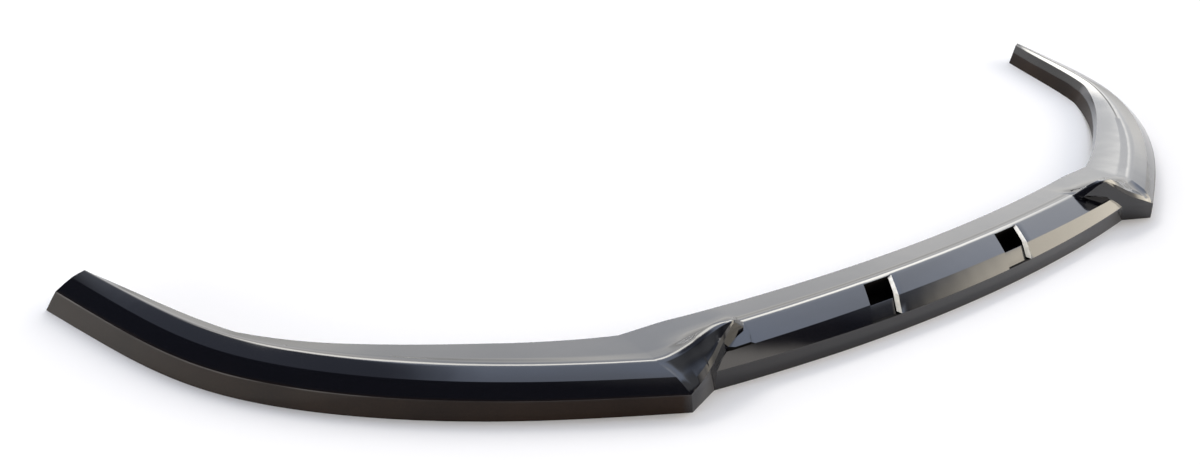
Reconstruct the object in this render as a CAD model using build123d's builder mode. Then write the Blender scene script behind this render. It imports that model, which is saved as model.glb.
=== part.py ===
import math
import os

from build123d import *

os.makedirs("parts", exist_ok=True)

# Front splitter lip: one open-bottomed sheet moulding that bows round the nose
# of a car. All sizes in millimetres. Front is -Y, up is +Z, it stands on z = 0.
# The left half is built and mirrored. The origin is on the centre line, at the
# middle of the front foot's underside.

# Overall plan
half_width = 884.0
wing_reach = 540.0
tip_x = 393.0
wing_start_x = 400.0
centre_bow = 12.0
wall = 4.0
tip_y = centre_bow - wall / 2

# Heights of the long creases and of the inner edge
rim_height = 20.0
step_height = 32.0
crest_height = 37.0
back_height = 31.0
blade_height = 33.5
fin_height = 59.0

# Flange that turns down along the inner edge, and its lean per unit of depth
edge_flange = 6.5
flange_lean = 0.3

# How far each crease lies behind the foot, at the tip and at the wing end
rim_inset_tip = 1.5
rim_inset_end = 13.0
step_inset_tip = 15.0
step_inset_end = 30.5
crest_inset_tip = 34.0
crest_inset_end = 43.5

# Width of the wing from foot to inner edge, and the shares of its length
# where it stops tapering gently and where the narrow blade begins
width_tip = 98.0
width_front = 87.0
width_blade = 57.0
width_end = 47.5
taper_start = 0.22
blade_start = 0.65

# Centre section: depths behind its foot on the centre line, rise at its ends
centre_rim_inset = 3.0
centre_step_inset = 20.5
centre_crest_inset = 51.0
centre_back_inset = 96.0
centre_end_x = 353.0
foot_rise = 28.5
crest_rise = 21.0
back_rise = 25.0

# Wing tip: slope of its inner wall in plan and the peak of the upswept fin
tip_wall_slope = 0.41
fin_start_x = 346.0
fin_end_x = 316.0
fin_depth = 7.0
fin_fall = 2.0

# Wing tip: crest above its corner, and the soft fold along the top of the wall
corner_crest_inset = 43.5
corner_crest_lift = 3.0
fold_depth = 4.0
fold_height_start = 14.0
fold_height_end = 17.0

# Share of the top plate's width that is hollowed where it sweeps up
ramp_share = 0.38

# Slots in the centre section
slot_centre_x = 114.0
slot_width = 44.0
slot_edge = 1.5
slit_width = 3.0
lip_setback = 4.5
lip_drop = 2.7
lip_wall = 3.0
cheek_wall = 3.0
end_slot_x = 287.0

# Pockets that close the slots underneath: height of their floor, wall, depth behind the crest
pocket_floor = 10.0
pocket_wall = 2.5
pocket_depth = 8.0

# Shape of the front edge of one wing, as shares of its breadth and reach
wing_shape = [(0.0, 0.0), (0.312, 0.154), (0.597, 0.348), (0.772, 0.530), (0.923, 0.815), (1.0, 1.0)]


# Small helpers

def blend(start, end, share):
    return start + (end - start) * share


def smooth(share):
    share = min(1.0, max(0.0, share))
    return share * share * (3.0 - 2.0 * share)


def inset_line(points, distance):
    """Inner side of an open outline, parallel to it at the wall thickness."""
    lines = []
    for (ax, az), (bx, bz) in zip(points, points[1:]):
        length = math.hypot(bx - ax, bz - az)
        nx = (bz - az) / length
        nz = -(bx - ax) / length
        lines.append((ax + nx * distance, az + nz * distance, bx - ax, bz - az))
    x0, z0, dx, dz = lines[0]
    inner = [(x0 + dx * (points[0][1] - z0) / dz, points[0][1])]
    for (ax, az, adx, adz), (bx, bz, bdx, bdz) in zip(lines, lines[1:]):
        cross = adx * bdz - adz * bdx
        share = ((bx - ax) * bdz - (bz - az) * bdx) / cross
        inner.append((ax + adx * share, az + adz * share))
    x0, z0, dx, dz = lines[-1]
    inner.append((x0 + dx * (points[-1][1] - z0) / dz, points[-1][1]))
    return inner


def sheet_face(plane, outer, inner):
    """Cross-section of the moulded sheet on an upright plane."""
    outline = outer + list(reversed(inner))
    with BuildSketch(plane) as section:
        with BuildLine():
            Polyline(*outline, close=True)
        make_face()
    return section.sketch


def x_plane(x):
    """Upright plane across the lip, local x runs to the back, local y runs up."""
    return Plane(origin=(x, 0, 0), x_dir=(0, 1, 0), z_dir=(1, 0, 0))


def bow(x, inset, rise):
    """Plan curve of a centre crease: a shallow bow with a rise at the section's end."""
    return inset - wall / 2 + rise * (x / centre_end_x) ** 2


def back_edge(x):
    return bow(x, centre_back_inset, back_rise)


# Front edge of the left wing in plan
with BuildLine() as wing_front:
    Spline(*[(-blend(tip_x, half_width, u), tip_y + wing_reach * v) for u, v in wing_shape])
wing_curve = wing_front.line


# Share of the curve at which it passes the first wing section
def share_at(x):
    low = 0.0
    high = 1.0
    for _ in range(40):
        middle = (low + high) / 2
        if (wing_curve @ middle).X > -x:
            low = middle
        else:
            high = middle
    return low


first_share = share_at(wing_start_x)


def wing_plane(share):
    """Section plane: square to X at the tip, swings round to square to Y at the end."""
    foot = wing_curve @ share
    turn = math.radians(90.0 * (1.0 - (share - first_share) / (1.0 - first_share)))
    inward = (math.cos(turn), math.sin(turn), 0.0)
    normal = (math.sin(turn), -math.cos(turn), 0.0)
    return Plane(origin=(foot.X, foot.Y, 0.0), x_dir=inward, z_dir=normal)


def wing_width(share):
    """Distance from foot to inner edge: gentle, then a quick taper, then the blade."""
    if share < taper_start:
        return blend(width_tip, width_front, math.sqrt(share / taper_start))
    if share < blade_start:
        return blend(width_front, width_blade, ((share - taper_start) / (blade_start - taper_start)) ** 1.5)
    return blend(width_blade, width_end, ((share - blade_start) / (1.0 - blade_start)) ** 2)


def wing_outline(share):
    """Outer line of the wing section, from the foot over the crest to the inner flange."""
    tangent = wing_curve % share
    across = wing_plane(share).x_dir
    square = abs(tangent.X * across.Y - tangent.Y * across.X)
    rim = blend(rim_inset_tip, rim_inset_end, share) / square
    step = blend(step_inset_tip, step_inset_end, share) / square
    crest = blend(crest_inset_tip, crest_inset_end, smooth(share / blade_start)) / square
    width = wing_width(share) / square
    inner_top = blend(back_height, blade_height, smooth((share - 0.5) / 0.2))
    flange = blend(edge_flange, inner_top, smooth((share - 0.12) / (blade_start - 0.12)))
    return [
        (0.0, 0.0),
        (rim, rim_height),
        (step, step_height),
        (crest, crest_height),
        (width, inner_top),
        (width + flange * flange_lean, inner_top - flange),
    ]


def wing_piece(shares):
    """Length of the wing's sheet through the sections at the given shares."""
    with BuildPart() as piece:
        for share in shares:
            outer = wing_outline(share)
            add(sheet_face(wing_plane(share), outer, inset_line(outer, wall)))
        loft()
    return piece.part


def tip_wall(x):
    """Plan line of the wing tip's inner wall."""
    return tip_y + (tip_x - x) * tip_wall_slope


def tip_rows():
    """Front line of each tip section: foot, low crease, fold and ridge."""
    start = wing_outline(first_share)
    foot = (wing_curve @ first_share).Y
    fold_rise = (fin_height - rim_height) / (tip_x - fin_end_x)
    fold_z = rim_height + fold_rise * (tip_x - fin_start_x)
    ridge_y = tip_wall(fin_end_x) + fin_depth
    fin_fold_z = fin_height - fin_fall - 0.5 * fold_depth
    end_y = bow(end_slot_x, centre_crest_inset, crest_rise)
    return [
        (wing_start_x, [(foot + y, z) for y, z in start[:4]]),
        (tip_x, [
            (tip_y, 0.0),
            (tip_y + 0.3, rim_height),
            (tip_y + 1.5, rim_height + 1.5),
            (tip_y + corner_crest_inset, crest_height + corner_crest_lift),
        ]),
        (fin_start_x, [
            (tip_wall(fin_start_x), 0.0),
            (tip_wall(fin_start_x) + 0.8, fold_z - fold_height_start),
            (tip_wall(fin_start_x) + fold_depth, fold_z),
            (ridge_y - 1.5, fin_height),
        ]),
        (fin_end_x, [
            (tip_wall(fin_end_x), 0.0),
            (tip_wall(fin_end_x) + 0.8, fin_fold_z - fold_height_end),
            (tip_wall(fin_end_x) + 0.75 * fold_depth, fin_fold_z),
            (ridge_y, fin_height - fin_fall),
        ]),
        (end_slot_x, [
            (tip_wall(end_slot_x), 0.0),
            (tip_wall(end_slot_x) + 0.8, rim_height + 4.0),
            (end_y - fold_depth, crest_height - 3.0),
            (end_y, crest_height),
        ]),
    ]


def tip_piece():
    """Wing tip: corner, sloping facet, upswept fin and its inner wall."""
    shifts = [(1, 0), (1, -0.4), (0.9, -0.5), (0.1, -1.35), (-0.1, -1.05), (-1, -1), (-1, 0)]
    with BuildPart() as piece:
        for x, front in tip_rows():
            crest_y, crest_z = front[-1]
            back_y = back_edge(x)
            knee = blend(crest_height, back_height, ramp_share) + 0.5 + 0.1 * (crest_z - crest_height)
            outer = front + [
                (blend(crest_y, back_y, ramp_share), knee),
                (back_y, back_height),
                (back_y + edge_flange * flange_lean, back_height - edge_flange),
            ]
            inner = [(y + wall * dy, z + wall * dz) for (y, z), (dy, dz) in zip(outer, shifts)]
            add(sheet_face(x_plane(-x), outer, inner))
        loft(ruled=True)
    return piece.part


def centre_outline(x):
    """Outer line of the centre section at one distance from the middle."""
    return [
        (bow(x, 0.0, foot_rise), 0.0),
        (bow(x, centre_rim_inset, foot_rise), rim_height),
        (bow(x, centre_step_inset, crest_rise), step_height),
        (bow(x, centre_crest_inset, crest_rise), crest_height),
        (back_edge(x), back_height),
        (back_edge(x) + edge_flange * flange_lean, back_height - edge_flange),
    ]


def centre_piece():
    """Half of the centre section, from the end slot to the middle."""
    with BuildPart() as piece:
        for x in (end_slot_x, end_slot_x / 2, 0.0):
            outer = centre_outline(x)
            add(sheet_face(x_plane(-x), outer, inset_line(outer, wall)))
        loft()
    return piece.part


def lip_end():
    """Lower lip that runs on past the end slot to the inner wall of the tip."""
    with BuildPart() as piece:
        for x in (centre_end_x, blend(centre_end_x, end_slot_x, 0.5), end_slot_x):
            outer = centre_outline(x)
            add(sheet_face(x_plane(-x), outer[:3], inset_line(outer[:4], wall)[:3]))
        loft()
    return piece.part


def strip_between(x_start, x_end, section):
    """Short length whose section follows the bow of the centre section."""
    with BuildPart() as piece:
        for x in (x_start, x_end):
            with BuildSketch(x_plane(-x)):
                with BuildLine():
                    Polyline(*section(x), close=True)
                make_face()
        loft(ruled=True)
    return piece.part


def slot_section(x):
    """Part of the skin that a slot removes: all between rim crease and crest."""
    foot, rim, step, crest = centre_outline(x)[:4]
    return [
        (rim[0] - wall, rim[1]),
        (rim[0] - wall, crest[1] + wall),
        (crest[0] - slot_edge, crest[1] + wall),
        (crest[0] - slot_edge, crest[1] - 2.0 * wall),
        (rim[0] + 4.0 * wall, rim[1]),
    ]


def lower_lip_section(x):
    """Lip inside a slot: it leaves the rim crease and lies behind the face at its top."""
    foot, rim, step, crest = centre_outline(x)[:4]
    top_y = step[0] + lip_setback
    top_z = step[1] - lip_drop
    return [
        (rim[0] + 0.1, rim[1] - 0.6),
        (top_y, top_z),
        (top_y + 0.6 * lip_wall, top_z - lip_wall),
        (rim[0] + lip_wall, rim[1] - lip_wall),
    ]


def cheek_section(x):
    """Return wall at the side of a slot, from the skin down to the pocket's floor."""
    foot, rim, step, crest = centre_outline(x)[:4]
    back_y = crest[0] + pocket_depth
    return [
        (foot[0] + 0.6 * wall, pocket_floor),
        (rim[0] + 0.1 * wall, rim[1] - 0.2 * wall),
        (step[0] + 0.1 * wall, step[1] - 0.2 * wall),
        (crest[0], crest[1] - 0.2 * wall),
        (back_y, crest[1] - 0.6 * wall),
        (back_y, pocket_floor),
    ]


def pocket_section(x):
    """Floor and back wall of the pocket behind a slot."""
    foot, rim, step, crest = centre_outline(x)[:4]
    front_y = foot[0] + 0.6 * wall
    back_y = crest[0] + pocket_depth
    top_z = crest[1] - 0.6 * wall
    return [
        (front_y, pocket_floor),
        (back_y, pocket_floor),
        (back_y, top_z),
        (back_y - pocket_wall, top_z),
        (back_y - pocket_wall, pocket_floor + pocket_wall),
        (front_y, pocket_floor + pocket_wall),
    ]


def end_pocket_floor():
    """Floor between the lower lip and the tip's wall, under the end slot."""
    side_x = end_slot_x - cheek_wall
    end_x = centre_end_x - 2.0 * wall
    front = [(-x, bow(x, 0.6 * wall, foot_rise)) for x in (side_x, blend(side_x, end_x, 0.5), end_x)]
    back = [(-x, tip_wall(x) + 0.6 * wall) for x in (end_x, end_slot_x)]
    with BuildPart() as piece:
        with BuildSketch(Plane.XY.offset(pocket_floor)):
            with BuildLine():
                Polyline(*front, *back, (-side_x, tip_wall(end_slot_x) + 0.6 * wall), close=True)
            make_face()
        extrude(amount=pocket_wall)
    return piece.part


slot_inner_x = slot_centre_x - slot_width / 2
slot_outer_x = slot_centre_x + slot_width / 2
front_shares = [blend(first_share, blade_start, step / 5) for step in range(6)]
blade_shares = [blend(blade_start, 1.0, step / 3) for step in range(4)]

with BuildPart() as lip:
    add(centre_piece())
    add(strip_between(slot_inner_x, slot_outer_x, slot_section), mode=Mode.SUBTRACT)
    add(strip_between(slot_inner_x - cheek_wall, slot_inner_x, cheek_section))
    add(strip_between(slot_outer_x, slot_outer_x + cheek_wall, cheek_section))
    add(strip_between(slot_inner_x + slit_width, slot_outer_x - slit_width, lower_lip_section))
    add(strip_between(slot_inner_x, slot_outer_x, pocket_section))
    add(strip_between(end_slot_x - cheek_wall, end_slot_x, cheek_section))
    add(lip_end())
    add(end_pocket_floor())
    add(tip_piece())
    add(wing_piece(front_shares))
    add(wing_piece(blade_shares))
    mirror(about=Plane.YZ)

lip.part.label = "splitter_lip"
export_step(lip.part, "parts/splitter_lip.step")
print("solids", len(lip.part.solids()), "valid", lip.part.is_valid, "volume", round(lip.part.volume))
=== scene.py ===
import math

import bmesh
import bpy
import numpy as np
from bpy.props import FloatProperty, FloatVectorProperty, IntProperty, PointerProperty
from mathutils import Matrix, Vector


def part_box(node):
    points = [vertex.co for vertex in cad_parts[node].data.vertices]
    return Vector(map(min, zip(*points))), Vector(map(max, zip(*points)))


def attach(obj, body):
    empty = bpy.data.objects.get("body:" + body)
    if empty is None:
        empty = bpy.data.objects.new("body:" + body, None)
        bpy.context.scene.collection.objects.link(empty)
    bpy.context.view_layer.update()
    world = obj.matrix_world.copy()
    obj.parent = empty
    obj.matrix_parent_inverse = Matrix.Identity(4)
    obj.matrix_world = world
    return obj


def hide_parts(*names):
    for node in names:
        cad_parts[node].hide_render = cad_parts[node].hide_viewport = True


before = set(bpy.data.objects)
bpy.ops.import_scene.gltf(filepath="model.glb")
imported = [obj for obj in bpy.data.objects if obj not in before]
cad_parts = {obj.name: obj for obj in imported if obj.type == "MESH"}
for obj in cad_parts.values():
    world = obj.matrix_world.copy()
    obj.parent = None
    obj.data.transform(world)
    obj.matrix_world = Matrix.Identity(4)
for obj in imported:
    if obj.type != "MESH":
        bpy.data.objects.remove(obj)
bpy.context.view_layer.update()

bl_info = {
    "name": "Front splitter lip",
    "version": (1, 0, 0),
    "blender": (4, 5, 0),
    "location": "View3D > Sidebar > Splitter",
    "description": "Builds a gloss moulded front splitter lip for a car's bumper",
    "category": "Add Mesh",
}

LIP_LOW, LIP_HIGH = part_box("splitter_lip")


# Sizes and colours that a user would change

class SplitterSizes(bpy.types.PropertyGroup):
    """Sizes of the moulded lip."""

    half_width: FloatProperty(
        name="Half width", description="From the middle to the outside of a wing", default=LIP_HIGH.x,
        subtype="DISTANCE", unit="LENGTH")
    wing_reach: FloatProperty(
        name="Wing reach", description="How far a wing sweeps back behind its tip", default=0.540,
        subtype="DISTANCE", unit="LENGTH")
    tip_x: FloatProperty(
        name="Tip corner", description="From the middle to the front corner of a wing", default=0.393,
        subtype="DISTANCE", unit="LENGTH")
    wall: FloatProperty(
        name="Sheet thickness", description="Thickness of the moulded sheet", default=0.004,
        subtype="DISTANCE", unit="LENGTH")
    rim_height: FloatProperty(
        name="Rim height", description="Height of the lowest crease", default=0.020,
        subtype="DISTANCE", unit="LENGTH")
    step_height: FloatProperty(
        name="Step height", description="Height of the middle crease", default=0.032,
        subtype="DISTANCE", unit="LENGTH")
    crest_height: FloatProperty(
        name="Crest height", description="Height of the top crease", default=0.037,
        subtype="DISTANCE", unit="LENGTH")
    back_height: FloatProperty(
        name="Back height", description="Height of the top plate's inner edge", default=0.031,
        subtype="DISTANCE", unit="LENGTH")
    fin_height: FloatProperty(
        name="Fin height", description="Height of the upswept peak at the wing tip", default=LIP_HIGH.z,
        subtype="DISTANCE", unit="LENGTH")
    slot_x: FloatProperty(
        name="Slot place", description="From the middle of the lip to the middle of a slot", default=0.114,
        subtype="DISTANCE", unit="LENGTH")
    slot_width: FloatProperty(
        name="Slot width", description="Width of an air slot", default=0.044,
        subtype="DISTANCE", unit="LENGTH")
    lip_setback: FloatProperty(
        name="Slot lip set-back", description="How far the lower lip of a slot lies behind the face",
        default=0.0048, subtype="DISTANCE", unit="LENGTH")
    return_depth: FloatProperty(
        name="Return depth", description="Depth of the return walls at the sides of a slot", default=0.0075,
        subtype="DISTANCE", unit="LENGTH")
    crease_round: FloatProperty(
        name="Crease rounding", description="Full rounding of a crease, of which each takes a share",
        default=0.0042, subtype="DISTANCE", unit="LENGTH")
    wing_rows: IntProperty(
        name="Wing rows", description="Rows of faces along a wing", default=84, min=20)
    tip_rows: IntProperty(
        name="Tip rows", description="Rows of faces along the upswept tip", default=36, min=12)


class SplitterColours(bpy.types.PropertyGroup):
    """Colours of the finish and of the stage."""

    plastic: FloatVectorProperty(
        name="Plastic", description="Colour of the moulded plastic", default=(0.004, 0.004, 0.006),
        size=3, subtype="COLOR", min=0.0, max=1.0)
    # Dust colours the small random specks all over the gloss; the brown low down is a painted reflection, not
    # this dust
    dust: FloatVectorProperty(
        name="Dust", description="Colour of the fine road dust low on the lip", default=(0.05, 0.036, 0.026),
        size=3, subtype="COLOR", min=0.0, max=1.0)
    floor: FloatVectorProperty(
        name="Floor", description="Colour of the studio floor", default=(0.96, 0.95, 0.945),
        size=3, subtype="COLOR", min=0.0, max=1.0)


# Plan and section of the lip in metres, for the right half, where x is negative

# Front edge of a wing in plan, as shares of its width and of its reach
WING_SHAPE = [(0.0, 0.0), (0.312, 0.154), (0.597, 0.348), (0.772, 0.530), (0.923, 0.815), (1.0, 1.0)]
WING_START_X = 0.400
TIP_Y = 0.010
WALL_SLOPE = 0.41

# Widths of a wing at its tip, taper, blade and end, and the shares of its length where taper and blade start
WING_WIDTHS = (0.098, 0.087, 0.057, 0.0475)
TAPER_START = 0.22
BLADE_START = 0.65

# Creases of a wing: distances from its foot, at its tip and at its end
WING_RIM = (0.0015, 0.013)
WING_STEP = (0.015, 0.0305)
WING_CREST = (0.034, 0.0435)

# Inner edge of a wing: its height at the end, and the start and length of the rise to it
WING_END_HEIGHT = 0.0335
WING_END_RISE = (0.5, 0.2)

# Creases of the middle part: distances behind the foot, and how far each bows back towards the ends
MIDDLE_FOOT = (0.0, 0.0285)
MIDDLE_RIM = (0.003, 0.0285)
MIDDLE_STEP = (0.0205, 0.021)
MIDDLE_CREST = (0.051, 0.021)
MIDDLE_BACK = (0.096, 0.025)
MIDDLE_FRONT_Y = -0.002
END_SLOT_X = 0.287
CENTRE_END_X = 0.353

# Flange turned down at the inner edge, where it grows along a wing, and the shoulder before the top crease
FLANGE = 0.0065
FLANGE_LEAN = 0.3
FLANGE_GROWS = 0.12
SHOULDER = 0.09

# Top plate from the crease inwards: a broad rounding as y and z, then shares of the way to the inner edge
BEAD = ((0.0, 0.0), (0.0034, 0.00026), (0.0068, 0.00018), (0.0104, -0.00030))
BEAD_PLATE = 0.040
PLATE_STOPS = (0.30, 0.37, 0.46, 0.56, 0.69, 0.83, 0.965, 1.0)
LIFT_END = 0.62
CROWN = 0.0003

# Columns of a section, from foot to the lower edge of the flange
FOOT, RIM, STEP, CREST = 0, 2, 4, 7
BACK = CREST + len(BEAD) + len(PLATE_STOPS) - 1
EDGE = BACK + 1

# Ridge of the upswept tip, from corner to end slot: share of the way, then x, y and z
RIDGE_KEYS = [
    (0.18, -0.385, 0.0498, 0.0387), (0.34, -0.366, 0.0478, 0.0447), (0.50, -0.349, 0.0468, 0.0520),
    (0.66, -0.332, 0.0466, 0.0570), (0.80, -0.3155, 0.0480, 0.0583), (0.90, -0.301, 0.0555, 0.0490)]
PEAK_MARGIN = 0.0007

# Fold of the upswept tip: share of the way, distance from the middle, set-back behind the wall's foot, height
FOLD_KEYS = [
    (0.28, 0.375, 0.0, 0.0278), (0.50, 0.356, 0.001, 0.0350), (0.66, 0.336, 0.003, 0.0468),
    (0.80, 0.317, 0.00384, 0.0566), (0.90, 0.302, 0.004, 0.0455), (1.0, END_SLOT_X, 0.003, 0.0335)]
FOLD_STRIP = 0.0070
FOLD_RAISE = Vector((-0.0006, -0.0011, 0.0023))

# Along the tip, as shares of its length, with a fade as start and length; the last is the row before it
BULGE_END = 0.14
STRIP_START = 0.05
STRIP_FADE = (0.50, 0.35)
BEAD_FADE = (0.6, 0.2)
ROW_BEFORE_TIP = -0.075

# Inner edge beside the tip: share of the way and distance from the middle
INNER_KEYS = [(0.45, 0.351), (0.75, 0.316), (1.0, END_SLOT_X)]

# How far each column of the tip's corner lies outside the corner itself
CORNER_SHIFT = {FOOT: 0.0, 1: 0.0004, RIM: 0.001, 3: 0.0035, STEP: 0.006, 5: 0.0085, 6: 0.0112}
CORNER_SHIFT_BEHIND = 0.0115

# End of the middle part: how far each column runs past the end slot's line, and where the lower faces end
END_SHIFT = {FOOT: 0.010, 1: 0.010, RIM: 0.010, 3: 0.010, STEP: 0.009, 5: 0.004, 6: 0.0004}
END_SHIFT_REACH = 0.045
LOWER_END_X = {FOOT: 0.3532, 1: 0.3534, RIM: 0.3536, 3: 0.3425, STEP: 0.3306}
LOWER_END_ROWS = 10

# Upper face carried on along the tip's wall, widest at the step crease, with its edge turned down
PANEL_END_STEPS = 5
PANEL_END_REACH = Vector((-0.031, 0.0031, -0.0008))
PANEL_END_TURN = Vector((-0.0030, 0.0, -0.0022))
PANEL_END_DROOP = 0.25
PANEL_END_CURVE = 2.4

# Lean of the slots' sides, which grows with y, fades away towards the ends and keeps to the faces' bow
SLOT_LEAN = 0.66
LEAN_FRONT, LEAN_MIDDLE, LEAN_BACK = 0.004, 0.0305, 0.0515
LEAN_END_X = 0.250
LEAN_FADE = 0.085
FACE_BOW = 0.023

# Distance from the middle where the rows of the middle part change their spacing
SLOT_END_STOP = 0.240

# Slot lips and pockets
LIP_INSET = 0.0030
LIP_LOW_DROP = 0.0030
LIP_TOP_FORWARD = -0.0012
LIP_TOP_DROP = -0.0042
LIP_WALL = 0.003
POCKET_FLOOR = 0.0125
POCKET_FRONT = 0.0024
POCKET_WALL = 0.0025
POCKET_DEPTH = 0.008
POCKET_OVERLAP = 0.0035
CHEEK_GAP = 0.0006
CHEEK_DROP = 0.001
POCKET_BACK_DROP = 0.0014
RETURN_SLANT = 0.001
END_POCKET_X = (0.284, 0.344)

# Creases: shares of the crease rounding, and the share of the tip's length where the fold has all of its own
CREASE_SHARE = 0.22
FOLD_SHARE = 0.32
FOLD_FULL = 0.30
CORNER_SHARE = 0.2

# Rounding of sharp edges, the angles past which an edge is sharp, and gaps that count as closed or near
EDGE_ROUND = 0.0006
EDGE_ANGLE = math.radians(50)
SMOOTH_ANGLE = 0.6
MERGE_GAP = 0.0001
NEAR = 0.0002

# Painted reflection of dark brown ground low on the lip, a brown satin that dulls and darkens the lower
# faces: heights where it fades, and how far from the middle the wings' stronger share begins
GROUND_REFLECTION_TOP = (0.0205, 0.0235)
GROUND_REFLECTION_WING = (0.392, 0.402)

# Camera of the photograph: its place, bearing, pitch and roll in degrees, and lens in pixels
CAMERA_PLACE = (-0.90218, -0.58569, 0.59193)
CAMERA_TURN = (33.86911, 27.10168, 0.55147)
PHOTO_WIDTH = 1200.0
PHOTO_FOCAL = 1001.0
SENSOR_WIDTH = 36.0
FLOOR_SIZE = 30.0

# Studio light: bearing and rise in degrees, cosines at the soft rim and the full middle, colour
SKY_PATCH = (45.0, 30.0, 0.45, 0.88)
SKY_BRIGHT = (7.0, 31.0, 0.955, 0.99, (3.2, 3.15, 3.1, 1.0))
LIGHT_PATCHES = [
    (-14.0, 55.0, 0.945, 0.985, (0.26, 0.29, 0.38, 1.0)),
    (150.0, 27.0, 0.93, 0.985, (2.0, 1.9, 1.8, 1.0)),
    (135.0, 72.0, 0.90, 0.98, (0.60, 0.62, 0.66, 1.0)),
    (108.0, 18.0, 0.90, 0.975, (5.0, 4.6, 3.9, 1.0))]
ARC_POLE = (-0.064, 0.668, -0.742)
ARC_OFFSET = 0.045
ARC_PATCH = (22.0, 38.0, 0.74, 0.93)
ARC_COLOUR = (9.0, 8.8, 8.3, 1.0)
DARK_PATCH = (-19.0, 47.0, 0.972, 0.99, (0.28, 0.31, 0.40, 1.0))
SIDE_PATCH = (262.0, 10.0, 0.40, 0.75)


def blend(start, end, share):
    return start + (end - start) * share


def smooth(share):
    share = min(1.0, max(0.0, share))
    return share * share * (3.0 - 2.0 * share)


class WingLine:
    """Smooth front edge of a wing in plan, through a few points."""

    def __init__(self, sizes):
        self.points = np.array([
            (-blend(sizes.tip_x, sizes.half_width, u), TIP_Y + sizes.wing_reach * v) for u, v in WING_SHAPE])
        steps = np.linalg.norm(np.diff(self.points, axis=0), axis=1)
        self.knots = np.concatenate([[0.0], np.cumsum(steps)]) / steps.sum()
        gap = np.diff(self.knots)
        count = len(self.knots)
        matrix = np.eye(count)
        right = np.zeros((count, 2))
        for i in range(1, count - 1):
            matrix[i, i - 1:i + 2] = gap[i - 1], 2 * (gap[i - 1] + gap[i]), gap[i]
            ahead = (self.points[i + 1] - self.points[i]) / gap[i]
            behind = (self.points[i] - self.points[i - 1]) / gap[i - 1]
            right[i] = 6 * (ahead - behind)
        self.curve = np.linalg.solve(matrix, right)
        self.gap = gap

    def at(self, share):
        i = int(min(max(np.searchsorted(self.knots, share) - 1, 0), len(self.gap) - 1))
        a = self.knots[i + 1] - share
        b = share - self.knots[i]
        h = self.gap[i]
        bend = self.curve
        place = self.points
        return (bend[i] * a ** 3 + bend[i + 1] * b ** 3) / (6 * h) + (
            (place[i] / h - bend[i] * h / 6) * a + (place[i + 1] / h - bend[i + 1] * h / 6) * b)

    def along(self, share):
        step = self.at(share + 1e-4) - self.at(share - 1e-4)
        return step / np.linalg.norm(step)

    def share_at(self, x):
        low, high = -0.05, 1.0
        for _ in range(40):
            middle = (low + high) / 2
            if self.at(middle)[0] > -x:
                low = middle
            else:
                high = middle
        return low


def wing_width(share):
    """Distance from foot to inner edge of a wing."""
    tip, taper, blade, end = WING_WIDTHS
    if share < TAPER_START:
        return blend(tip, taper, math.sqrt(max(share, 0.0) / TAPER_START))
    if share < BLADE_START:
        return blend(taper, blade, ((share - TAPER_START) / (BLADE_START - TAPER_START)) ** 1.5)
    return blend(blade, end, ((share - BLADE_START) / (1.0 - BLADE_START)) ** 2)


def bead_line(crest, back, scale=1.0):
    """Broad rounding behind the top crease, smaller where the plate is narrow."""
    share = scale * min(1.0, (back[0] - crest[0]) / BEAD_PLATE)
    return [(crest[0] + y * share, crest[1] + z * share) for y, z in BEAD]


def plate_line(crest, back, lift):
    """Points over the top plate from bead to inner edge; lift is the upsweep at the crest."""
    points = []
    for stop in PLATE_STOPS:
        y = blend(crest[0], back[0], stop)
        z = blend(crest[1] - lift, back[1], stop) + lift * max(0.0, 1.0 - stop / LIFT_END) ** 2
        points.append((y, z))
    return points


def crowned(start, end):
    """Middle point of a face, slightly proud of it."""
    dy, dz = end[0] - start[0], end[1] - start[1]
    length = math.hypot(dy, dz)
    return ((start[0] + end[0]) / 2 - dz / length * CROWN, (start[1] + end[1]) / 2 + dy / length * CROWN)


def section(foot, rim, step, crest, back, flange):
    """Whole outer line of a section, from foot to the lower edge of the flange."""
    ahead = (blend(crest[0], step[0], SHOULDER), blend(crest[1], step[1], SHOULDER))
    top = [crowned(step, crest), ahead] + bead_line(crest, back) + plate_line(crest, back, 0.0)
    edge = (back[0] + flange * FLANGE_LEAN, back[1] - flange)
    return [foot, crowned(foot, rim), rim, crowned(rim, step), step] + top + [edge]


def wing_section(sizes, line, share, first):
    """Outer line of a wing's section in its own plane."""
    tangent = line.along(share)
    turn = math.radians(90.0 * (1.0 - (share - first) / (1.0 - first)))
    across = np.array((math.cos(turn), math.sin(turn)))
    square = abs(tangent[0] * across[1] - tangent[1] * across[0])
    rim = blend(*WING_RIM, share) / square
    step = blend(*WING_STEP, share) / square
    crest = blend(*WING_CREST, smooth(share / BLADE_START)) / square
    width = wing_width(share) / square
    rise = smooth((share - WING_END_RISE[0]) / WING_END_RISE[1])
    inner_top = blend(sizes.back_height, WING_END_HEIGHT, rise)
    flange = blend(FLANGE, inner_top, smooth((share - FLANGE_GROWS) / (BLADE_START - FLANGE_GROWS)))
    flat = section(
        (0.0, 0.0), (rim, sizes.rim_height), (step, sizes.step_height), (crest, sizes.crest_height),
        (width, inner_top), flange)
    origin = line.at(share)
    return [Vector((origin[0] + across[0] * y, origin[1] + across[1] * y, z)) for y, z in flat]


def bow(x, inset, rise):
    """Plan curve of a crease in the middle part of the lip."""
    return inset + MIDDLE_FRONT_Y + rise * (x / CENTRE_END_X) ** 2


def centre_point(sizes, x, column):
    """Point of the middle part's outer line at distance x from the middle."""
    flat = section(
        (bow(x, *MIDDLE_FOOT), 0.0), (bow(x, *MIDDLE_RIM), sizes.rim_height),
        (bow(x, *MIDDLE_STEP), sizes.step_height), (bow(x, *MIDDLE_CREST), sizes.crest_height),
        (bow(x, *MIDDLE_BACK), sizes.back_height), FLANGE)
    y, z = flat[column]
    return Vector((-x, y, z))


def wall_y(sizes, x):
    """Plan line of the wing tip's inner wall."""
    return TIP_Y + (sizes.tip_x - x) * WALL_SLOPE


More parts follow.
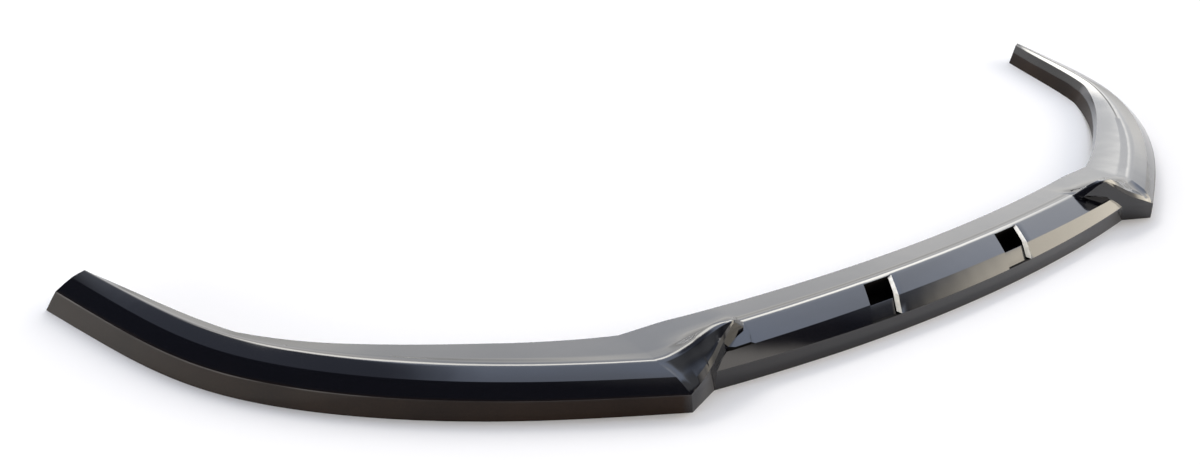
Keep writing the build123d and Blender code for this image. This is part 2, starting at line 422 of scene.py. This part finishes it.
def through(keys, share):
    """Smooth curve through keys of (share, x, y, z)."""
    keys = [np.array(key, float) for key in keys]
    i = 0
    while i < len(keys) - 2 and share > keys[i + 1][0]:
        i += 1
    a, b = keys[i], keys[i + 1]
    before = keys[i - 1] if i > 0 else a
    after = keys[i + 2] if i + 2 < len(keys) else b
    span = b[0] - a[0]
    t = (share - a[0]) / span
    slope_a = (b[1:] - before[1:]) / (b[0] - before[0]) * span
    slope_b = (after[1:] - a[1:]) / (after[0] - a[0]) * span
    return Vector((2 * t ** 3 - 3 * t ** 2 + 1) * a[1:] + (t ** 3 - 2 * t ** 2 + t) * slope_a
                  + (3 * t ** 2 - 2 * t ** 3) * b[1:] + (t ** 3 - t ** 2) * slope_b)


def tip_rows(sizes, before, corner):
    """Rows of the upswept tip, from its corner row to the end slot."""
    peak = sizes.fin_height - PEAK_MARGIN
    crest_end = Vector((-END_SLOT_X, bow(END_SLOT_X, *MIDDLE_CREST), sizes.crest_height))
    ridge = [(ROW_BEFORE_TIP, *before[CREST]), (0.0, *corner[CREST])] + RIDGE_KEYS + [(1.0, *crest_end)]
    fold = [(0.0, *corner[RIM])]
    for share, x, back, z in FOLD_KEYS:
        fold.append((share, -x, wall_y(sizes, x) + back, z))
    inner = [(ROW_BEFORE_TIP, *before[BACK]), (0.0, *corner[BACK])]
    for share, x in INNER_KEYS:
        inner.append((share, -x, bow(x, *MIDDLE_BACK), sizes.back_height))
    rows = []
    for i in range(1, sizes.tip_rows + 1):
        share = i / sizes.tip_rows
        top = through(ridge, share)
        top.z = min(top.z, peak)
        back = through(inner, share)
        low = through(fold, share)
        foot = Vector((low.x + (corner[FOOT].x - corner[RIM].x) * (1 - share), 0.0, 0.0))
        foot.y = wall_y(sizes, -foot.x)
        bulge = max(0.0, 1.0 - share / BULGE_END) ** 2
        middle = top.lerp(low, 0.5)
        corner_middle = corner[CREST].lerp(corner[RIM], 0.5)
        middle += (corner[STEP] - corner_middle) * bulge
        strip = smooth(share / STRIP_START) * (1.0 - 0.9 * smooth((share - STRIP_FADE[0]) / STRIP_FADE[1]))
        edge = low + (middle - low).normalized() * FOLD_STRIP + FOLD_RAISE
        above_fold = low.lerp(middle, 0.5).lerp(edge, strip)
        row = [foot, foot.lerp(low, 0.5) + Vector((0, -CROWN, 0)), low, above_fold, middle]
        row += [middle.lerp(top, 0.5), top.lerp(middle, SHOULDER)]
        lift = top.z - sizes.crest_height
        for y, z in bead_line(top.yz, back.yz, 1.0 - 0.6 * smooth((share - BEAD_FADE[0]) / BEAD_FADE[1])):
            row.append(Vector((top.x, y, z)))
        for stop, (y, z) in zip(PLATE_STOPS, plate_line(top.yz, back.yz, lift)):
            row.append(Vector((blend(top.x, back.x, smooth(stop)), y, z)))
        row.append(back + Vector((0.0, FLANGE * FLANGE_LEAN, -FLANGE)))
        rows.append(row)
    return rows


def wing_and_tip_rows(sizes):
    """All rows of points from the wing's end to the end slot."""
    line = WingLine(sizes)
    first = line.share_at(WING_START_X)
    shares = []
    for column in range(EDGE + 1):
        shares.append(line.share_at(sizes.tip_x + CORNER_SHIFT.get(column, CORNER_SHIFT_BEHIND)))
    rows = []
    for i in range(sizes.wing_rows + 1):
        t = i / sizes.wing_rows
        row = []
        for column, last in enumerate(shares):
            share = blend(1.0, last, t)
            row.append(wing_section(sizes, line, share, first)[column])
        rows.append(row)
    return rows, tip_rows(sizes, rows[-2], rows[-1])


def add_grid(name, rows):
    """Grid sheet with its points set row by row."""
    bpy.ops.object.select_all(action="DESELECT")
    bpy.ops.mesh.primitive_grid_add(x_subdivisions=len(rows[0]) - 1, y_subdivisions=len(rows) - 1)
    piece = bpy.context.object
    piece.name = name
    points = [point for row in rows for point in row]
    if len(points) != len(piece.data.vertices):
        raise RuntimeError("grid has %d points, not %d" % (len(piece.data.vertices), len(points)))
    for vertex, point in zip(piece.data.vertices, points):
        vertex.co = point
    return piece


def set_bevel_weights(piece, columns, lines, cross_rows):
    """Weights the creases: lines is {column: weight for a row}, cross_rows is {row: (columns, weight)}."""
    mesh = piece.data
    layer = mesh.attributes.new("bevel_weight_edge", "FLOAT", "EDGE")
    for edge in mesh.edges:
        a, b = sorted(edge.vertices)
        row, column = divmod(a, columns)
        if b - a == columns and column in lines:
            layer.data[edge.index].value = lines[column](row)
        elif b - a == 1 and row in cross_rows:
            reach, weight = cross_rows[row]
            if column < reach:
                layer.data[edge.index].value = weight


def middle_xs(sizes):
    """Distances from the middle of the rows of the middle part, from the end slot inwards."""
    outer = sizes.slot_x + sizes.slot_width / 2
    inner = sizes.slot_x - sizes.slot_width / 2
    stops = [(END_SLOT_X, SLOT_END_STOP, 9), (SLOT_END_STOP, outer, 10), (outer, inner, 6), (inner, 0.0, 10)]
    xs = [END_SLOT_X]
    for start, end, steps in stops:
        xs += [blend(start, end, (i + 1) / steps) for i in range(steps)]
    return xs


def middle_row(sizes, x):
    """Row of the middle part; near the end slot its lower faces run on a little past it."""
    near_end = max(0.0, 1.0 - (END_SLOT_X - x) / END_SHIFT_REACH) ** 2
    shifts = [END_SHIFT.get(column, 0.0) * near_end for column in range(EDGE + 1)]
    return [centre_point(sizes, x + shift, column) for column, shift in enumerate(shifts)]


def lip_end_rows(sizes):
    """Rows of the lower faces that run on past the end slot to the tip's wall."""
    rows = []
    for i in range(LOWER_END_ROWS + 1):
        row = []
        for column in range(STEP + 1):
            start = END_SLOT_X + END_SHIFT[column]
            row.append(centre_point(sizes, blend(LOWER_END_X[column], start, i / LOWER_END_ROWS), column))
        rows.append(row)
    return rows


def panel_end_rows(sizes):
    """Rows that carry the middle part's upper face on along the wall of the tip, with a turned-down edge."""
    start = middle_row(sizes, END_SLOT_X)
    rows = []
    for i in range(PANEL_END_STEPS + 2):
        reach = min(1.0, i / PANEL_END_STEPS)
        turned = 1.0 if i > PANEL_END_STEPS else 0.0
        row = []
        for column in range(STEP, CREST + 1):
            share = (start[column].y - start[STEP].y) / (start[CREST].y - start[STEP].y)
            point = start[column] + PANEL_END_REACH * reach * (1.0 - share) ** PANEL_END_CURVE
            point += PANEL_END_TURN * (PANEL_END_DROOP * reach * share + turned)
            row.append(point)
        rows.append(row)
    return rows


def edit_mesh(piece):
    """Opens the piece in edit mode with nothing selected."""
    bpy.ops.object.select_all(action="DESELECT")
    piece.select_set(True)
    bpy.context.view_layer.objects.active = piece
    bpy.ops.object.mode_set(mode="EDIT")
    bpy.ops.mesh.select_all(action="DESELECT")
    return bmesh.from_edit_mesh(piece.data)


def close_edit(piece):
    bmesh.update_edit_mesh(piece.data)
    bpy.ops.object.mode_set(mode="OBJECT")


def join(pieces, name):
    bpy.ops.object.select_all(action="DESELECT")
    for piece in pieces:
        piece.select_set(True)
    bpy.context.view_layer.objects.active = pieces[0]
    bpy.ops.object.join()
    whole = bpy.context.object
    whole.name = name
    whole.data.name = name
    return whole


def apply_modifier(piece, kind, **settings):
    """Adds a modifier with its settings and applies it."""
    bpy.ops.object.select_all(action="DESELECT")
    piece.select_set(True)
    bpy.context.view_layer.objects.active = piece
    modifier = piece.modifiers.new(kind.lower(), kind)
    for key, value in settings.items():
        setattr(modifier, key, value)
    bpy.ops.object.modifier_apply(modifier=modifier.name)


def cut_slot(piece, sizes):
    """Opens one slot in the skin: the faces between the rim and the crest go."""
    graph = edit_mesh(piece)
    inner = sizes.slot_x - sizes.slot_width / 2
    outer = sizes.slot_x + sizes.slot_width / 2
    for face in graph.faces:
        middle = face.calc_center_median()
        rim = centre_point(sizes, -middle.x, RIM)
        crest = centre_point(sizes, -middle.x, CREST)
        face.select_set(inner < -middle.x < outer and middle.z > rim.z and rim.y < middle.y < crest.y)
    bpy.ops.mesh.delete(type="FACE")
    close_edit(piece)


def mark_slot_sides(piece, sizes):
    """Marks the free edges at both sides of the slot as seams, to fold them in later."""
    sides = [sizes.slot_x - sizes.slot_width / 2, sizes.slot_x + sizes.slot_width / 2]
    graph = edit_mesh(piece)
    for edge in graph.edges:
        a, b = edge.verts
        away = min(abs((a.co.x + b.co.x) / 2 + side) for side in sides)
        low = (a.co.z + b.co.z) / 2 < sizes.rim_height
        edge.seam = edge.is_boundary and away < NEAR and abs(a.co.x - b.co.x) < NEAR and not low
    close_edit(piece)


def fold_returns(piece, sizes):
    """Folds the sheet in at the slots' marked sides: backwards on one side, downwards on the undercut one."""
    for backwards in (True, False):
        graph = edit_mesh(piece)
        count = len(graph.faces)
        for edge in graph.edges:
            middle = (edge.verts[0].co + edge.verts[1].co) / 2
            x = middle.x - slot_lean(middle.x, middle.y)
            edge.select_set(edge.seam and ((abs(x) < sizes.slot_x) == (x < 0.0)) == backwards)
        way = (0.0, RETURN_SLANT, -sizes.return_depth)
        if backwards:
            way = (0.0, sizes.return_depth, -RETURN_SLANT)
        bpy.ops.mesh.extrude_edges_move(TRANSFORM_OT_translate={"value": way})
        graph = bmesh.from_edit_mesh(piece.data)
        graph.faces.ensure_lookup_table()
        # The new return walls take material 1, the pale painted highlight
        for face in graph.faces[count:]:
            face.material_index = 1
        close_edit(piece)


def slot_lean(x, y):
    """Sideways shift that leans the slots' sides the way they run in the photograph."""
    fade = smooth((LEAN_END_X - abs(x)) / LEAN_FADE)
    return (min(max(y, LEAN_FRONT), LEAN_BACK) - LEAN_MIDDLE) * SLOT_LEAN * fade


def lean_slots(piece, depth=0.0):
    """Leans a piece with the slots' sides; depth is how far behind the face it lies."""
    for vertex in piece.data.vertices:
        x = vertex.co.x
        lean = slot_lean(x, vertex.co.y - depth)
        vertex.co.x += lean
        vertex.co.y += ((x + lean) ** 2 - x ** 2) * FACE_BOW / CENTRE_END_X ** 2


def stand_on_floor(piece):
    """Trims the sheet's free edge level with the floor that it stands on."""
    for vertex in piece.data.vertices:
        vertex.co.z = max(vertex.co.z, LIP_LOW.z)


def trim_wing_ends(piece):
    """Cuts both wing ends flat where the sheet was trimmed."""
    edit_mesh(piece)
    bpy.ops.mesh.select_all(action="SELECT")
    bpy.ops.mesh.bisect(
        plane_co=(0.0, LIP_HIGH.y - NEAR, 0.0), plane_no=(0.0, 1.0, 0.0), clear_outer=True, use_fill=True)
    close_edit(piece)


def turn_faces(piece, outward):
    """Flips a sheet whose faces look inwards, judged by its sixth face."""
    if not outward(piece.data.polygons[5]):
        edit_mesh(piece)
        bpy.ops.mesh.select_all(action="SELECT")
        bpy.ops.mesh.flip_normals()
        close_edit(piece)


def round_sharp_edges(piece):
    apply_modifier(piece, "BEVEL", limit_method="ANGLE", angle_limit=EDGE_ANGLE, width=EDGE_ROUND, segments=2,
                   use_clamp_overlap=True)


def finish_normals(piece):
    """Smooth shading over the soft creases, with the flat faces kept flat."""
    bpy.ops.object.select_all(action="DESELECT")
    piece.select_set(True)
    bpy.context.view_layer.objects.active = piece
    bpy.ops.object.shade_smooth_by_angle(angle=SMOOTH_ANGLE)
    apply_modifier(piece, "WEIGHTED_NORMAL", mode="FACE_AREA", weight=60, keep_sharp=True)


def build_skin(sizes, materials):
    """Outer skin of the lip as a sheet of even thickness with rounded creases."""
    wing, tip = wing_and_tip_rows(sizes)
    corner = len(wing) - 1

    def fold_weight(row):
        share = (row - corner) / sizes.tip_rows
        return blend(CREASE_SHARE, FOLD_SHARE, smooth(share / FOLD_FULL))

    def crease_weight(row):
        return CREASE_SHARE

    def step_weight(row):
        return CREASE_SHARE if row < corner else 0.0

    outer = add_grid("wing_sheet", wing + tip)
    set_bevel_weights(outer, EDGE + 1, {RIM: fold_weight, STEP: step_weight}, {corner: (CREST, CORNER_SHARE)})
    middle = add_grid("middle_sheet", [middle_row(sizes, x) for x in middle_xs(sizes)])
    set_bevel_weights(middle, EDGE + 1, {RIM: crease_weight, STEP: crease_weight}, {})
    ends = add_grid("lip_end_sheet", lip_end_rows(sizes))
    set_bevel_weights(ends, STEP + 1, {RIM: crease_weight}, {})
    panel_ends = add_grid("panel_end_sheet", panel_end_rows(sizes))
    skin = join([outer, middle, ends, panel_ends], "splitter_skin")
    edit_mesh(skin)
    bpy.ops.mesh.select_all(action="SELECT")
    bpy.ops.mesh.remove_doubles(threshold=MERGE_GAP)
    close_edit(skin)
    turn_faces(skin, lambda face: face.normal.z > 0.0 or face.normal.y < 0.0)
    cut_slot(skin, sizes)
    for kind in materials:
        skin.data.materials.append(kind)
    mark_slot_sides(skin, sizes)
    apply_modifier(skin, "MIRROR", use_axis=(True, False, False), merge_threshold=NEAR)
    lean_slots(skin)
    fold_returns(skin, sizes)
    apply_modifier(skin, "SOLIDIFY", thickness=sizes.wall, offset=-1.0, use_even_offset=True,
                   thickness_clamp=0.0, material_offset_rim=2)
    stand_on_floor(skin)
    trim_wing_ends(skin)
    apply_modifier(skin, "BEVEL", limit_method="WEIGHT", width=sizes.crease_round, segments=4,
                   use_clamp_overlap=True)
    round_sharp_edges(skin)
    finish_normals(skin)
    return skin


def build_slot_lips(sizes):
    """Set-back lower lips inside the two middle slots."""
    half = sizes.slot_width / 2
    rows = []
    for i in range(9):
        side = 1.0 - i / 4
        x = sizes.slot_x + side * (half - LIP_INSET)
        low = centre_point(sizes, x, RIM) + Vector((0.0, sizes.lip_setback, -LIP_LOW_DROP))
        top = centre_point(sizes, x, STEP) + Vector((0.0, sizes.lip_setback + LIP_TOP_FORWARD, LIP_TOP_DROP))
        rows.append([low, low.lerp(top, 0.33), low.lerp(top, 0.67) + Vector((0.0, 0.0, CROWN)), top])
    lips = add_grid("slot_lips", rows)
    turn_faces(lips, lambda face: face.normal.z > 0.0)
    apply_modifier(lips, "SOLIDIFY", thickness=LIP_WALL, offset=-1.0, use_even_offset=True)
    round_sharp_edges(lips)
    apply_modifier(lips, "MIRROR", use_axis=(True, False, False))
    lean_slots(lips, sizes.lip_setback)
    finish_normals(lips)
    return lips


def cheek_rows(sizes, x):
    """Upper and lower line of the wall that closes a pocket at one side."""
    rim, step = centre_point(sizes, x, RIM), centre_point(sizes, x, STEP)
    crest = Vector((-x, bow(x, *MIDDLE_CREST), sizes.crest_height))
    top = [rim, step, crest, crest + Vector((0.0, POCKET_DEPTH, -POCKET_BACK_DROP))]
    top = [point - Vector((0.0, 0.0, CHEEK_DROP)) for point in top]
    return [top, [Vector((point.x, point.y, POCKET_FLOOR)) for point in top]]


def build_pockets(sizes):
    """Dark pockets that close the slots underneath."""
    outer = sizes.slot_x + sizes.slot_width / 2
    inner = sizes.slot_x - sizes.slot_width / 2
    back_top = sizes.crest_height - CHEEK_DROP - POCKET_BACK_DROP
    floor = []
    for i in range(5):
        x = blend(outer + POCKET_OVERLAP, inner - POCKET_OVERLAP, i / 4)
        front = bow(x, POCKET_FRONT, MIDDLE_FOOT[1])
        back = bow(x, *MIDDLE_CREST) + POCKET_DEPTH - POCKET_WALL
        floor.append([
            Vector((-x, front, POCKET_FLOOR)), Vector((-x, (front + back) / 2, POCKET_FLOOR)),
            Vector((-x, back, POCKET_FLOOR)), Vector((-x, back, back_top))])
    end_floor = []
    for i in range(7):
        x = blend(*END_POCKET_X, i / 6)
        front = bow(x, POCKET_FRONT, MIDDLE_FOOT[1])
        back = wall_y(sizes, max(x, END_SLOT_X)) + POCKET_FRONT
        end_floor.append([Vector((-x, blend(front, back, j / 2), POCKET_FLOOR)) for j in range(3)])
    parts = [add_grid("slot_floor", floor), add_grid("end_floor", end_floor)]
    turn_faces(parts[0], lambda face: face.normal.z > 0.0 or face.normal.y < 0.0)
    turn_faces(parts[1], lambda face: face.normal.z > 0.0)
    for x, side in ((outer + CHEEK_GAP, 1.0), (inner - CHEEK_GAP, -1.0), (END_SLOT_X - CHEEK_GAP, -1.0)):
        upper, lower = cheek_rows(sizes, x)
        cheek = add_grid("cheek", [[blend(a, b, j / 2) for a, b in zip(upper, lower)] for j in range(3)])
        turn_faces(cheek, lambda face: face.normal.x * side > 0.0)
        parts.append(cheek)
    pockets = join(parts, "slot_pockets")
    apply_modifier(pockets, "SOLIDIFY", thickness=POCKET_WALL, offset=-1.0, use_even_offset=False)
    apply_modifier(pockets, "MIRROR", use_axis=(True, False, False))
    lean_slots(pockets)
    finish_normals(pockets)
    return pockets


# Shader maths

class Value:
    """A socket of a node, which takes part in sums as a number does."""

    def __init__(self, recipe, socket):
        self.recipe = recipe
        self.socket = socket

    def _sum(self, operation, first, second):
        return self.recipe.node("ShaderNodeMath", {"operation": operation}, {0: first, 1: second})

    def __add__(self, other):
        return self._sum("ADD", self, other)

    def __radd__(self, other):
        return self._sum("ADD", other, self)

    def __sub__(self, other):
        return self._sum("SUBTRACT", self, other)

    def __rsub__(self, other):
        return self._sum("SUBTRACT", other, self)

    def __mul__(self, other):
        return self._sum("MULTIPLY", self, other)

    def __rmul__(self, other):
        return self._sum("MULTIPLY", other, self)


class Recipe:
    """Nodes of one material or world."""

    def __init__(self, tree):
        self.tree = tree
        tree.nodes.clear()

    def node(self, kind, settings=None, inputs=None, output=0):
        """Adds a node, sets it up and links or fills its sockets; gives one output."""
        made = self.tree.nodes.new(kind)
        for key, value in (settings or {}).items():
            setattr(made, key, value)
        for key, value in (inputs or {}).items():
            if isinstance(value, Value):
                self.tree.links.new(value.socket, made.inputs[key])
            else:
                made.inputs[key].default_value = value
        return Value(self, made.outputs[output]) if made.outputs else None

    def absolute(self, value):
        return self.node("ShaderNodeMath", {"operation": "ABSOLUTE"}, {0: value})

    def mix(self, share, first, second):
        """Mixes two colours."""
        return self.node("ShaderNodeMix", {"data_type": "RGBA"}, {0: share, 6: first, 7: second}, output=2)

    def noise(self, place, scale, detail=2.0, roughness=0.5):
        return self.node("ShaderNodeTexNoise", {}, {
            "Vector": place, "Scale": scale, "Detail": detail, "Roughness": roughness})

    def spread(self, value, low, high):
        """Stretches a value so that low becomes 0 and high becomes 1."""
        return self.node("ShaderNodeMapRange", {"clamp": True}, {
            "Value": value, "From Min": low, "From Max": high, "To Min": 0.0, "To Max": 1.0})


def gloss_black(name, colours):
    """Polished black plastic: deep gloss with a faint ripple and small random dust specks, and low down a
    painted reflection of dark brown ground, a dull brown satin that darkens the lower faces, most on the
    wings.
    """
    material = bpy.data.materials.new(name)
    material.use_nodes = True
    recipe = Recipe(material.node_tree)
    place = recipe.node("ShaderNodeTexCoord", output=3)
    across = recipe.node("ShaderNodeSeparateXYZ", {}, {0: place}, output=0)
    height = recipe.node("ShaderNodeSeparateXYZ", {}, {0: place}, output=2)
    cloud = recipe.noise(place, 9.0, 3.0)
    speck = recipe.noise(place, 900.0, 2.0)
    # Painted reflection of dark brown ground: a brown satin low down, most on the wings, that dulls and
    # darkens the lower faces
    low = 1.0 - recipe.spread(height + cloud * 0.004, *GROUND_REFLECTION_TOP)
    painted_reflection_share = low * (0.12 + 0.83 * recipe.spread(recipe.absolute(across), *GROUND_REFLECTION_WING))
    grit = recipe.spread(speck * 0.5 + cloud * 0.5, 0.48, 0.70)
    colour = recipe.mix(grit * 0.10, (*colours.plastic, 1.0), (*colours.dust, 1.0))
    ripple = recipe.noise(place, 26.0, 1.0)
    peel = recipe.noise(place, 420.0, 1.0)
    bump = recipe.node("ShaderNodeBump", {}, {
        "Strength": 0.35, "Distance": 0.0006, "Height": ripple * 0.9 + peel * 0.02})
    gloss = recipe.node("ShaderNodeBsdfPrincipled", {}, {
        "Base Color": colour, "Roughness": 0.05 + cloud * 0.05 + grit * 0.06, "IOR": 1.55, "Normal": bump,
        "Coat Weight": 0.12, "Coat Roughness": 0.03, "Coat IOR": 1.6})
    # Brown of the painted ground reflection
    painted_ground_colour = recipe.mix(recipe.spread(cloud * 0.6 + speck * 0.4, 0.35, 0.65), (0.010, 0.006, 0.0045, 1.0),
                       (0.024, 0.014, 0.009, 1.0))
    painted_ground_satin = recipe.node("ShaderNodeBsdfPrincipled", {}, {
        "Base Color": painted_ground_colour, "Roughness": 0.32 + speck * 0.2, "IOR": 1.18, "Normal": bump})
    surface = recipe.node("ShaderNodeMixShader", {}, {0: painted_reflection_share, 1: gloss, 2: painted_ground_satin})
    recipe.node("ShaderNodeOutputMaterial", {}, {"Surface": surface})
    return material


def pocket_black(name):
    """Matt black inside of the slots."""
    material = bpy.data.materials.new(name)
    material.use_nodes = True
    recipe = Recipe(material.node_tree)
    place = recipe.node("ShaderNodeTexCoord", output=3)
    grain = recipe.noise(place, 700.0, 3.0)
    colour = recipe.mix(recipe.spread(recipe.noise(place, 30.0, 3.0), 0.4, 0.7), (0.003, 0.003, 0.003, 1.0),
                        (0.008, 0.007, 0.006, 1.0))
    bump = recipe.node("ShaderNodeBump", {}, {"Strength": 0.3, "Distance": 0.0003, "Height": grain})
    surface = recipe.node("ShaderNodeBsdfPrincipled", {}, {
        "Base Color": colour, "Roughness": 0.55 + grain * 0.2, "IOR": 1.1, "Normal": bump})
    recipe.node("ShaderNodeOutputMaterial", {}, {"Surface": surface})
    return material


def painted_highlight_wall(name):
    """Painted highlight on the black return walls beside the slots: pale cream with a random mottle."""
    material = bpy.data.materials.new(name)
    material.use_nodes = True
    recipe = Recipe(material.node_tree)
    place = recipe.node("ShaderNodeTexCoord", output=3)
    grain = recipe.noise(place, 500.0, 3.0)
    scuff = recipe.spread(recipe.noise(place, 140.0, 4.0) + grain * 0.2, 0.45, 0.85)
    # Pale cream of the painted highlight, mottled at random
    colour = recipe.mix(scuff, (0.90, 0.87, 0.80, 1.0), (0.66, 0.63, 0.56, 1.0))
    bump = recipe.node("ShaderNodeBump", {}, {"Strength": 0.2, "Distance": 0.0002, "Height": grain})
    surface = recipe.node("ShaderNodeBsdfPrincipled", {}, {
        "Base Color": colour, "Roughness": 0.35 + scuff * 0.2, "Normal": bump})
    recipe.node("ShaderNodeOutputMaterial", {}, {"Surface": surface})
    return material


def pale_floor(name, colours):
    """Matt pale studio floor."""
    material = bpy.data.materials.new(name)
    material.use_nodes = True
    recipe = Recipe(material.node_tree)
    place = recipe.node("ShaderNodeTexCoord", output=3)
    grain = recipe.noise(place, 3.0, 4.0)
    colour = recipe.mix(grain * 0.05, (*colours.floor, 1.0), (0.92, 0.91, 0.90, 1.0))
    surface = recipe.node("ShaderNodeBsdfPrincipled", {}, {
        "Base Color": colour, "Roughness": 0.8, "Specular IOR Level": 0.1})
    recipe.node("ShaderNodeOutputMaterial", {}, {"Surface": surface})
    return material


def set_material(piece, material):
    piece.data.materials.clear()
    piece.data.materials.append(material)


# Operators

class SPLITTER_OT_skin(bpy.types.Operator):
    """Models the moulded skin with its wings, upswept tips and slots"""

    bl_idname = "splitter.skin"
    bl_label = "Moulded skin"

    def execute(self, context):
        gloss = gloss_black("gloss_black_skin", context.scene.splitter_colours)
        # Material 1 is the painted highlight on the slots' return walls
        materials = [gloss, painted_highlight_wall("painted_highlight_wall"), pocket_black("cut_black")]
        skin = build_skin(context.scene.splitter_sizes, materials)
        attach(skin, "root")
        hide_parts("splitter_lip")
        return {"FINISHED"}


class SPLITTER_OT_slot_lips(bpy.types.Operator):
    """Models the set-back lower lips inside the slots"""

    bl_idname = "splitter.slot_lips"
    bl_label = "Slot lips"

    def execute(self, context):
        lips = build_slot_lips(context.scene.splitter_sizes)
        set_material(lips, gloss_black("gloss_black_lips", context.scene.splitter_colours))
        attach(lips, "root")
        return {"FINISHED"}


class SPLITTER_OT_pockets(bpy.types.Operator):
    """Models the dark pockets that close the slots underneath"""

    bl_idname = "splitter.pockets"
    bl_label = "Slot pockets"

    def execute(self, context):
        pockets = build_pockets(context.scene.splitter_sizes)
        set_material(pockets, pocket_black("pocket_black"))
        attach(pockets, "root")
        return {"FINISHED"}


def studio_light(world):
    """Soft light from all round, as patches that the gloss plastic mirrors."""
    world.use_nodes = True
    recipe = Recipe(world.node_tree)
    way = recipe.node("ShaderNodeTexCoord", output=0)
    up = recipe.node("ShaderNodeSeparateXYZ", {}, {0: way}, output=2)

    def along(direction):
        settings = {"operation": "DOT_PRODUCT"}
        return recipe.node("ShaderNodeVectorMath", settings, {0: way, 1: direction}, output=1)

    def toward(bearing, rise, low, high):
        """Soft patch of the studio's light, 1 at its middle."""
        bearing, rise = math.radians(bearing), math.radians(rise)
        middle = (math.sin(bearing) * math.cos(rise), math.cos(bearing) * math.cos(rise), math.sin(rise))
        near = along(middle)
        return recipe.node("ShaderNodeMapRange", {"clamp": True, "interpolation_type": "SMOOTHSTEP"}, {
            "Value": near, "From Min": low, "From Max": high, "To Min": 0.0, "To Max": 1.0})

    def patched(light, patch):
        return recipe.mix(toward(*patch[:4]), light, patch[4])

    cloud = recipe.noise(way, 2.6, 3.0)
    sky = recipe.mix(recipe.spread(up, 0.20, 0.75), (2.5, 2.45, 2.35, 1.0), (1.65, 1.88, 2.4, 1.0))
    sky = recipe.mix(0.7 * recipe.spread(cloud, 0.42, 0.66), sky, (1.3, 1.35, 1.45, 1.0))
    sky = patched(sky, SKY_BRIGHT)
    glow = recipe.mix(toward(*SKY_PATCH), (0.03, 0.035, 0.05, 1.0), sky)
    for patch in LIGHT_PATCHES:
        glow = patched(glow, patch)
    arc = 1.0 - recipe.spread(recipe.absolute(along(ARC_POLE) + ARC_OFFSET), 0.05, 0.09)
    glow = recipe.mix(arc * toward(*ARC_PATCH), glow, ARC_COLOUR)
    glow = patched(glow, DARK_PATCH)
    side = (1.0 - recipe.spread(up, 0.26, 0.40)) * toward(*SIDE_PATCH)
    glow = recipe.mix(recipe.spread(up, 0.05, 0.24), (1.0, 0.99, 0.97, 1.0), glow)
    glow = recipe.mix(side, glow, (3.9, 3.85, 3.7, 1.0))
    light = recipe.node("ShaderNodeBackground", {}, {"Color": glow, "Strength": 1.0})
    recipe.node("ShaderNodeOutputWorld", {}, {"Surface": light})


def photo_camera():
    """Camera at the photograph's viewing angle."""
    bpy.ops.object.camera_add()
    camera = bpy.context.object
    camera.name = "camera"
    camera.data.sensor_width = SENSOR_WIDTH
    camera.data.lens = SENSOR_WIDTH * PHOTO_FOCAL / PHOTO_WIDTH
    bearing, pitch, roll = [math.radians(angle) for angle in CAMERA_TURN]
    ahead = Vector((math.sin(bearing), math.cos(bearing), 0.0))
    side = Vector((math.cos(bearing), -math.sin(bearing), 0.0))
    forward = ahead * math.cos(pitch) - Vector((0, 0, math.sin(pitch)))
    upward = ahead * math.sin(pitch) + Vector((0, 0, math.cos(pitch)))
    right = side * math.cos(roll) + upward * math.sin(roll)
    top = upward * math.cos(roll) - side * math.sin(roll)
    turn = Matrix((right, top, -forward)).transposed().to_4x4()
    camera.matrix_world = Matrix.Translation(CAMERA_PLACE) @ turn
    return camera


class SPLITTER_OT_stage(bpy.types.Operator):
    """Sets up the floor, the soft light and the camera"""

    bl_idname = "splitter.stage"
    bl_label = "Stage"

    def execute(self, context):
        scene = context.scene
        bpy.ops.object.select_all(action="DESELECT")
        bpy.ops.mesh.primitive_plane_add(size=FLOOR_SIZE, location=(0.0, 0.0, LIP_LOW.z))
        floor = bpy.context.object
        floor.name = "floor"
        set_material(floor, pale_floor("pale_floor", scene.splitter_colours))
        scene.world = bpy.data.worlds.new("studio")
        studio_light(scene.world)
        scene.camera = photo_camera()
        scene.view_settings.view_transform = "Standard"
        return {"FINISHED"}


class SPLITTER_PT_panel(bpy.types.Panel):
    """Sizes and steps of the splitter lip"""

    bl_idname = "SPLITTER_PT_panel"
    bl_label = "Front splitter lip"
    bl_space_type = "VIEW_3D"
    bl_region_type = "UI"
    bl_category = "Splitter"

    def draw(self, context):
        column = self.layout.column()
        for step in OPERATORS:
            column.operator(step.bl_idname)
        for group in (context.scene.splitter_sizes, context.scene.splitter_colours):
            for key in group.bl_rna.properties.keys():
                if key not in ("rna_type", "name"):
                    column.prop(group, key)


OPERATORS = (SPLITTER_OT_skin, SPLITTER_OT_slot_lips, SPLITTER_OT_pockets, SPLITTER_OT_stage)
CLASSES = (SplitterSizes, SplitterColours) + OPERATORS + (SPLITTER_PT_panel,)


def register():
    for kind in CLASSES:
        bpy.utils.register_class(kind)
    bpy.types.Scene.splitter_sizes = PointerProperty(type=SplitterSizes)
    bpy.types.Scene.splitter_colours = PointerProperty(type=SplitterColours)


def unregister():
    del bpy.types.Scene.splitter_colours
    del bpy.types.Scene.splitter_sizes
    for kind in reversed(CLASSES):
        bpy.utils.unregister_class(kind)


def main():
    register()
    bpy.ops.splitter.stage()
    bpy.ops.splitter.skin()
    bpy.ops.splitter.slot_lips()
    bpy.ops.splitter.pockets()


if __name__ == "__main__":
    main()
